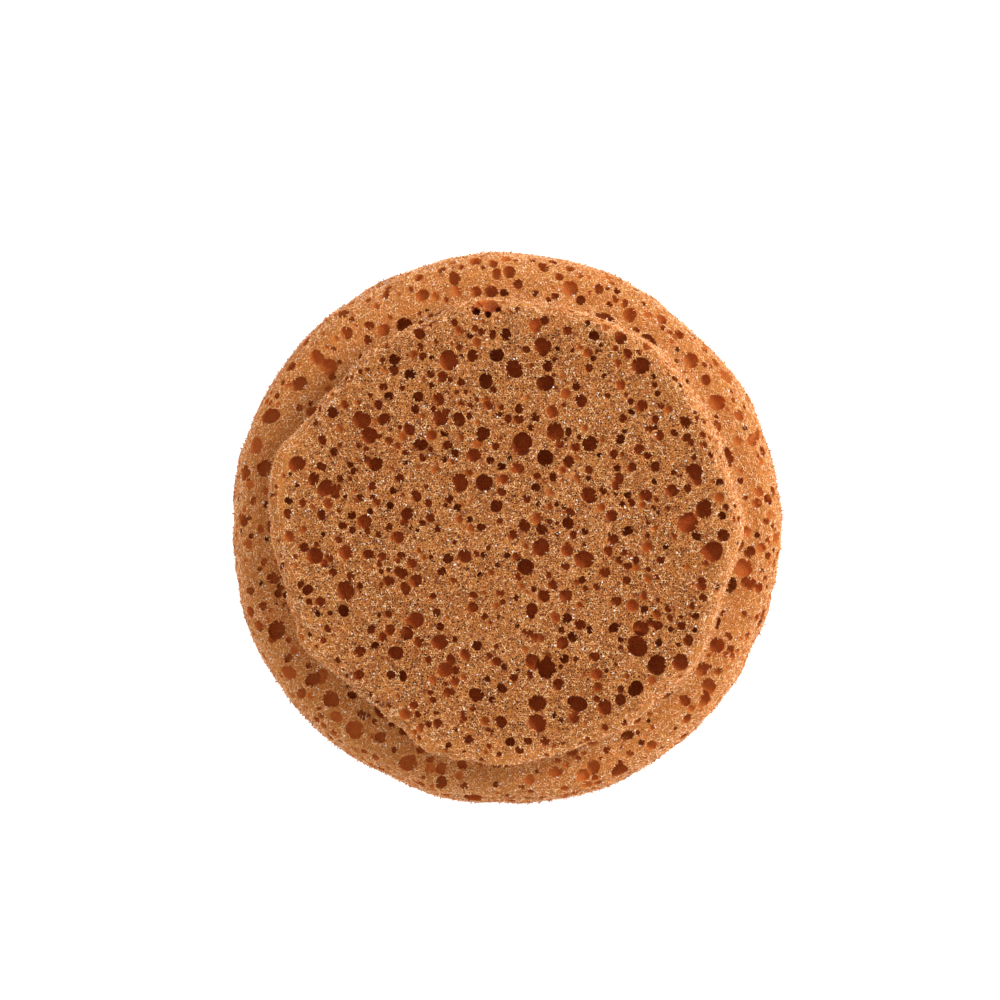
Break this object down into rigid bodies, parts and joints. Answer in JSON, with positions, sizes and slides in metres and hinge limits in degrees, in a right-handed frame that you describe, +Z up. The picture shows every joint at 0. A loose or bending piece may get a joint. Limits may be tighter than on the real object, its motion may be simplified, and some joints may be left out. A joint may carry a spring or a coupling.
{
  "type": "sea sponge",
  "caption": "Round foam sea sponge with a narrower hand-trimmed upper tier, pitted all over with round open pores, for washing by hand.",
  "frame": {"origin": "centre of the flat underside, under the middle of the sponge's width and depth", "axes": "+Z up out of the upper tier; +X and +Y lie in the underside"},
  "size_m": [0.0996, 0.1002, 0.045],
  "materials": {
    "foam": "matte"
  },
  "bodies": {
    "root": {"sponge": "foam"}
  },
  "joints": []
}
